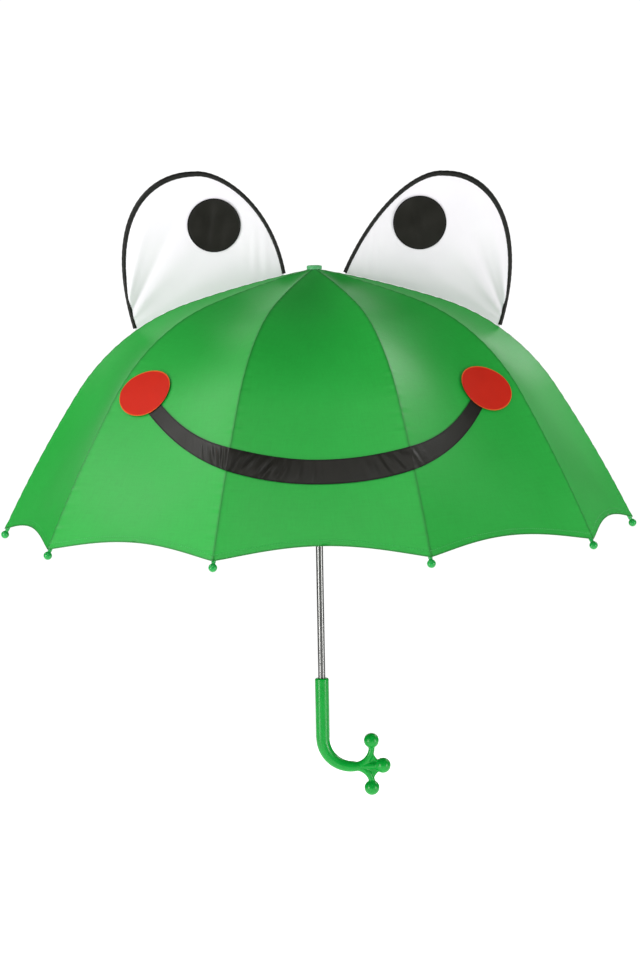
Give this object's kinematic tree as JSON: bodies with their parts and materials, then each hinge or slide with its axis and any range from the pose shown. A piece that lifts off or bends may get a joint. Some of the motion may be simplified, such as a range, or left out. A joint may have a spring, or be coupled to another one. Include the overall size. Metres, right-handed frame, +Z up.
{
  "type": "children's umbrella",
  "caption": "Child's stick umbrella: domed scalloped canopy with two stand-up animal eyes, folding ribs on a sliding runner, and a hooked handle ending in a webbed foot with ball toes.",
  "frame": {"origin": "on the shaft's axis, halfway up the straight part of the grip", "axes": "+Z up the shaft towards the crown; the hook points to +X; the face looks along -Y"},
  "size_m": [0.7118, 0.6774, 0.7013],
  "materials": {
    "shaft_chrome": "polished",
    "crown_plastic": "satin",
    "cap_plastic": "satin",
    "stop_rubber": "matte",
    "handle_plastic": "gloss",
    "runner_plastic": "gloss",
    "catch_steel": "satin",
    "eye_fabric": "matte",
    "rib_steel": "satin",
    "tip_plastic": "gloss",
    "canopy_fabric": "satin"
  },
  "bodies": {
    "umbrella": {"shaft_tube": "shaft_chrome", "crown_notch": "crown_plastic", "crown_cap": "cap_plastic", "runner_stop": "stop_rubber", "handle": "handle_plastic"},
    "runner": {"runner": "runner_plastic"},
    "top_catch": {"top_catch": "catch_steel"},
    "bottom_catch": {"bottom_catch": "catch_steel"},
    "rib_1": {"rib_1": "rib_steel", "canopy_panel_1": "canopy_fabric"},
    "rib_end_1": {"rib_end_1": "rib_steel", "rib_tip_1": "tip_plastic"},
    "stretcher_1": {"stretcher_1": "rib_steel"},
    "rib_2": {"rib_2": "rib_steel", "canopy_panel_2": "canopy_fabric"},
    "rib_end_2": {"rib_end_2": "rib_steel", "rib_tip_2": "tip_plastic"},
    "stretcher_2": {"stretcher_2": "rib_steel"},
    "rib_3": {"rib_3": "rib_steel", "canopy_panel_3": "canopy_fabric", "eye_right": "eye_fabric"},
    "rib_end_3": {"rib_end_3": "rib_steel", "rib_tip_3": "tip_plastic"},
    "stretcher_3": {"stretcher_3": "rib_steel"},
    "rib_4": {"rib_4": "rib_steel", "canopy_panel_4": "canopy_fabric"},
    "rib_end_4": {"rib_end_4": "rib_steel", "rib_tip_4": "tip_plastic"},
    "stretcher_4": {"stretcher_4": "rib_steel"},
    "rib_5": {"rib_5": "rib_steel", "canopy_panel_5": "canopy_fabric"},
    "rib_end_5": {"rib_end_5": "rib_steel", "rib_tip_5": "tip_plastic"},
    "stretcher_5": {"stretcher_5": "rib_steel"},
    "rib_6": {"rib_6": "rib_steel", "canopy_panel_6": "canopy_fabric"},
    "rib_end_6": {"rib_end_6": "rib_steel", "rib_tip_6": "tip_plastic"},
    "stretcher_6": {"stretcher_6": "rib_steel"},
    "rib_7": {"rib_7": "rib_steel", "canopy_panel_7": "canopy_fabric"},
    "rib_end_7": {"rib_end_7": "rib_steel", "rib_tip_7": "tip_plastic"},
    "stretcher_7": {"stretcher_7": "rib_steel"},
    "rib_8": {"rib_8": "rib_steel", "canopy_panel_8": "canopy_fabric", "eye_left": "eye_fabric"},
    "rib_end_8": {"rib_end_8": "rib_steel", "rib_tip_8": "tip_plastic"},
    "stretcher_8": {"stretcher_8": "rib_steel"},
    "rib_9": {"rib_9": "rib_steel", "canopy_panel_9": "canopy_fabric"},
    "rib_end_9": {"rib_end_9": "rib_steel", "rib_tip_9": "tip_plastic"},
    "stretcher_9": {"stretcher_9": "rib_steel"},
    "rib_10": {"rib_10": "rib_steel", "canopy_panel_10": "canopy_fabric"},
    "rib_end_10": {"rib_end_10": "rib_steel", "rib_tip_10": "tip_plastic"},
    "stretcher_10": {"stretcher_10": "rib_steel"}
  },
  "joints": [
    {"name": "runner_slide", "type": "slide", "parent": "umbrella", "child": "runner", "axis": [0, 0, 1], "range_m": [-0.24301, 0]},
    {"name": "top_catch_pivot", "type": "hinge", "parent": "umbrella", "child": "top_catch", "pos_m": [0, 0.002, 0.25348], "axis": [1, 0, 0], "range_deg": [0, 6], "stiffness_Nm_per_rad": 0.05},
    {"name": "bottom_catch_pivot", "type": "hinge", "parent": "umbrella", "child": "bottom_catch", "pos_m": [0, 0.002, 0.07347], "axis": [-1, 0, 0], "range_deg": [0, 6], "stiffness_Nm_per_rad": 0.05},
    {"name": "rib_1_fold", "type": "hinge", "parent": "umbrella", "child": "rib_1", "pos_m": [0.00198, -0.00609, 0.48846], "axis": [0.9511, 0.309, 0], "range_deg": [0, 68.59], "deforming": ["canopy_panel_1"]},
    {"name": "rib_1_flex", "type": "hinge", "parent": "rib_1", "child": "rib_end_1", "pos_m": [0.05986, -0.18424, 0.42621], "axis": [0.9511, 0.309, 0], "range_deg": [-33.08, 0]},
    {"name": "stretcher_1_pivot", "type": "hinge", "parent": "rib_1", "child": "stretcher_1", "pos_m": [0.05986, -0.18424, 0.42621], "axis": [0.9511, 0.309, 0], "range_deg": [-127.71, 0]},
    {"name": "rib_2_fold", "type": "hinge", "parent": "umbrella", "child": "rib_2", "pos_m": [0.00519, -0.00377, 0.48846], "axis": [0.5878, 0.809, 0], "range_deg": [0, 68.59], "deforming": ["canopy_panel_2"]},
    {"name": "rib_2_flex", "type": "hinge", "parent": "rib_2", "child": "rib_end_2", "pos_m": [0.15672, -0.11386, 0.42621], "axis": [0.5878, 0.809, 0], "range_deg": [-33.08, 0]},
    {"name": "stretcher_2_pivot", "type": "hinge", "parent": "rib_2", "child": "stretcher_2", "pos_m": [0.15672, -0.11386, 0.42621], "axis": [0.5878, 0.809, 0], "range_deg": [-127.71, 0]},
    {"name": "rib_3_fold", "type": "hinge", "parent": "umbrella", "child": "rib_3", "pos_m": [0.00641, 0, 0.48846], "axis": [0, 1, 0], "range_deg": [0, 68.59], "deforming": ["canopy_panel_3", "eye_right"]},
    {"name": "rib_3_flex", "type": "hinge", "parent": "rib_3", "child": "rib_end_3", "pos_m": [0.19372, 0, 0.42621], "axis": [0, 1, 0], "range_deg": [-33.08, 0]},
    {"name": "stretcher_3_pivot", "type": "hinge", "parent": "rib_3", "child": "stretcher_3", "pos_m": [0.19372, 0, 0.42621], "axis": [0, 1, 0], "range_deg": [-127.71, 0]},
    {"name": "rib_4_fold", "type": "hinge", "parent": "umbrella", "child": "rib_4", "pos_m": [0.00519, 0.00377, 0.48846], "axis": [-0.5878, 0.809, 0], "range_deg": [0, 68.59], "deforming": ["canopy_panel_4"]},
    {"name": "rib_4_flex", "type": "hinge", "parent": "rib_4", "child": "rib_end_4", "pos_m": [0.15672, 0.11386, 0.42621], "axis": [-0.5878, 0.809, 0], "range_deg": [-33.08, 0]},
    {"name": "stretcher_4_pivot", "type": "hinge", "parent": "rib_4", "child": "stretcher_4", "pos_m": [0.15672, 0.11386, 0.42621], "axis": [-0.5878, 0.809, 0], "range_deg": [-127.71, 0]},
    {"name": "rib_5_fold", "type": "hinge", "parent": "umbrella", "child": "rib_5", "pos_m": [0.00198, 0.00609, 0.48846], "axis": [-0.9511, 0.309, 0], "range_deg": [0, 68.59], "deforming": ["canopy_panel_5"]},
    {"name": "rib_5_flex", "type": "hinge", "parent": "rib_5", "child": "rib_end_5", "pos_m": [0.05986, 0.18424, 0.42621], "axis": [-0.9511, 0.309, 0], "range_deg": [-33.08, 0]},
    {"name": "stretcher_5_pivot", "type": "hinge", "parent": "rib_5", "child": "stretcher_5", "pos_m": [0.05986, 0.18424, 0.42621], "axis": [-0.9511, 0.309, 0], "range_deg": [-127.71, 0]},
    {"name": "rib_6_fold", "type": "hinge", "parent": "umbrella", "child": "rib_6", "pos_m": [-0.00198, 0.00609, 0.48846], "axis": [-0.9511, -0.309, 0], "range_deg": [0, 68.59], "deforming": ["canopy_panel_6"]},
    {"name": "rib_6_flex", "type": "hinge", "parent": "rib_6", "child": "rib_end_6", "pos_m": [-0.05986, 0.18424, 0.42621], "axis": [-0.9511, -0.309, 0], "range_deg": [-33.08, 0]},
    {"name": "stretcher_6_pivot", "type": "hinge", "parent": "rib_6", "child": "stretcher_6", "pos_m": [-0.05986, 0.18424, 0.42621], "axis": [-0.9511, -0.309, 0], "range_deg": [-127.71, 0]},
    {"name": "rib_7_fold", "type": "hinge", "parent": "umbrella", "child": "rib_7", "pos_m": [-0.00519, 0.00377, 0.48846], "axis": [-0.5878, -0.809, 0], "range_deg": [0, 68.59], "deforming": ["canopy_panel_7"]},
    {"name": "rib_7_flex", "type": "hinge", "parent": "rib_7", "child": "rib_end_7", "pos_m": [-0.15672, 0.11386, 0.42621], "axis": [-0.5878, -0.809, 0], "range_deg": [-33.08, 0]},
    {"name": "stretcher_7_pivot", "type": "hinge", "parent": "rib_7", "child": "stretcher_7", "pos_m": [-0.15672, 0.11386, 0.42621], "axis": [-0.5878, -0.809, 0], "range_deg": [-127.71, 0]},
    {"name": "rib_8_fold", "type": "hinge", "parent": "umbrella", "child": "rib_8", "pos_m": [-0.00641, 0, 0.48846], "axis": [0, -1, 0], "range_deg": [0, 68.59], "deforming": ["canopy_panel_8", "eye_left"]},
    {"name": "rib_8_flex", "type": "hinge", "parent": "rib_8", "child": "rib_end_8", "pos_m": [-0.19372, 0, 0.42621], "axis": [0, -1, 0], "range_deg": [-33.08, 0]},
    {"name": "stretcher_8_pivot", "type": "hinge", "parent": "rib_8", "child": "stretcher_8", "pos_m": [-0.19372, 0, 0.42621], "axis": [0, -1, 0], "range_deg": [-127.71, 0]},
    {"name": "rib_9_fold", "type": "hinge", "parent": "umbrella", "child": "rib_9", "pos_m": [-0.00519, -0.00377, 0.48846], "axis": [0.5878, -0.809, 0], "range_deg": [0, 68.59], "deforming": ["canopy_panel_9"]},
    {"name": "rib_9_flex", "type": "hinge", "parent": "rib_9", "child": "rib_end_9", "pos_m": [-0.15672, -0.11386, 0.42621], "axis": [0.5878, -0.809, 0], "range_deg": [-33.08, 0]},
    {"name": "stretcher_9_pivot", "type": "hinge", "parent": "rib_9", "child": "stretcher_9", "pos_m": [-0.15672, -0.11386, 0.42621], "axis": [0.5878, -0.809, 0], "range_deg": [-127.71, 0]},
    {"name": "rib_10_fold", "type": "hinge", "parent": "umbrella", "child": "rib_10", "pos_m": [-0.00198, -0.00609, 0.48846], "axis": [0.9511, -0.309, 0], "range_deg": [0, 68.59], "deforming": ["canopy_panel_10"]},
    {"name": "rib_10_flex", "type": "hinge", "parent": "rib_10", "child": "rib_end_10", "pos_m": [-0.05986, -0.18424, 0.42621], "axis": [0.9511, -0.309, 0], "range_deg": [-33.08, 0]},
    {"name": "stretcher_10_pivot", "type": "hinge", "parent": "rib_10", "child": "stretcher_10", "pos_m": [-0.05986, -0.18424, 0.42621], "axis": [0.9511, -0.309, 0], "range_deg": [-127.71, 0]}
  ],
  "couplings": [
    {"joint": "rib_1_fold", "follows": "runner_slide", "rad_per_m": -4.9227},
    {"joint": "rib_1_flex", "follows": "runner_slide", "rad_per_m": 2.3724},
    {"joint": "stretcher_1_pivot", "follows": "runner_slide", "rad_per_m": 9.1685},
    {"joint": "rib_2_fold", "follows": "runner_slide", "rad_per_m": -4.9227},
    {"joint": "rib_2_flex", "follows": "runner_slide", "rad_per_m": 2.3724},
    {"joint": "stretcher_2_pivot", "follows": "runner_slide", "rad_per_m": 9.1685},
    {"joint": "rib_3_fold", "follows": "runner_slide", "rad_per_m": -4.9227},
    {"joint": "rib_3_flex", "follows": "runner_slide", "rad_per_m": 2.3724},
    {"joint": "stretcher_3_pivot", "follows": "runner_slide", "rad_per_m": 9.1685},
    {"joint": "rib_4_fold", "follows": "runner_slide", "rad_per_m": -4.9227},
    {"joint": "rib_4_flex", "follows": "runner_slide", "rad_per_m": 2.3724},
    {"joint": "stretcher_4_pivot", "follows": "runner_slide", "rad_per_m": 9.1685},
    {"joint": "rib_5_fold", "follows": "runner_slide", "rad_per_m": -4.9227},
    {"joint": "rib_5_flex", "follows": "runner_slide", "rad_per_m": 2.3724},
    {"joint": "stretcher_5_pivot", "follows": "runner_slide", "rad_per_m": 9.1685},
    {"joint": "rib_6_fold", "follows": "runner_slide", "rad_per_m": -4.9227},
    {"joint": "rib_6_flex", "follows": "runner_slide", "rad_per_m": 2.3724},
    {"joint": "stretcher_6_pivot", "follows": "runner_slide", "rad_per_m": 9.1685},
    {"joint": "rib_7_fold", "follows": "runner_slide", "rad_per_m": -4.9227},
    {"joint": "rib_7_flex", "follows": "runner_slide", "rad_per_m": 2.3724},
    {"joint": "stretcher_7_pivot", "follows": "runner_slide", "rad_per_m": 9.1685},
    {"joint": "rib_8_fold", "follows": "runner_slide", "rad_per_m": -4.9227},
    {"joint": "rib_8_flex", "follows": "runner_slide", "rad_per_m": 2.3724},
    {"joint": "stretcher_8_pivot", "follows": "runner_slide", "rad_per_m": 9.1685},
    {"joint": "rib_9_fold", "follows": "runner_slide", "rad_per_m": -4.9227},
    {"joint": "rib_9_flex", "follows": "runner_slide", "rad_per_m": 2.3724},
    {"joint": "stretcher_9_pivot", "follows": "runner_slide", "rad_per_m": 9.1685},
    {"joint": "rib_10_fold", "follows": "runner_slide", "rad_per_m": -4.9227},
    {"joint": "rib_10_flex", "follows": "runner_slide", "rad_per_m": 2.3724},
    {"joint": "stretcher_10_pivot", "follows": "runner_slide", "rad_per_m": 9.1685}
  ]
}
